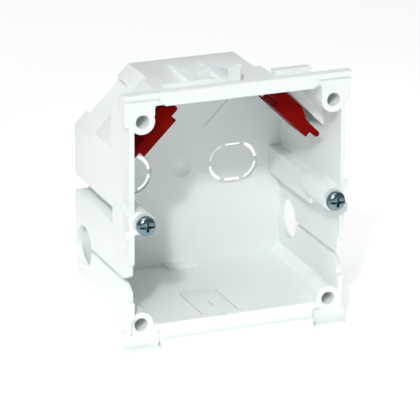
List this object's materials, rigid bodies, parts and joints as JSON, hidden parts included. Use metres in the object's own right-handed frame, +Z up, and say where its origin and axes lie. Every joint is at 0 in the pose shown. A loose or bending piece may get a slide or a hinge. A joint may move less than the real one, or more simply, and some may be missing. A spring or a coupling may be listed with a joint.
{
  "type": "switch box",
  "caption": "Open-front moulded box that holds a switch or socket insert in cable trunking, with angled cable corners, sliding cable clamps, knock-outs and device screws",
  "frame": {"origin": "centre of the front frame, in the plane of its front face and on the centre line of the four corner holes", "axes": "+X to the right seen from the front, the opening faces -Y, +Y runs back into the trunking, +Z up"},
  "size_m": [0.071, 0.0508, 0.0803],
  "materials": {
    "white_plastic": "satin as moulded, pure white",
    "red_plastic": "glossy as moulded, deep red",
    "plated_steel": "zinc plated, bright"
  },
  "bodies": {
    "housing": {"housing": "white_plastic"},
    "clamp_left": {"clamp_left": "red_plastic"},
    "clamp_right": {"clamp_right": "red_plastic"},
    "screw_left": {"device_screw_left": "plated_steel"},
    "screw_right": {"device_screw_right": "plated_steel"}
  },
  "joints": [
    {"name": "clamp_left_slide", "type": "slide", "parent": "housing", "child": "clamp_left", "axis": [0, 1, 0], "range_m": [0, 0.011]},
    {"name": "clamp_right_slide", "type": "slide", "parent": "housing", "child": "clamp_right", "axis": [0, 1, 0], "range_m": [0, 0.011]},
    {"name": "screw_left_turn", "type": "hinge", "parent": "housing", "child": "screw_left", "pos_m": [-0.0301, 0, 0.0008], "axis": [0, 1, 0], "continuous": true},
    {"name": "screw_right_turn", "type": "hinge", "parent": "housing", "child": "screw_right", "pos_m": [0.0301, 0, 0.0008], "axis": [0, 1, 0], "continuous": true}
  ]
}
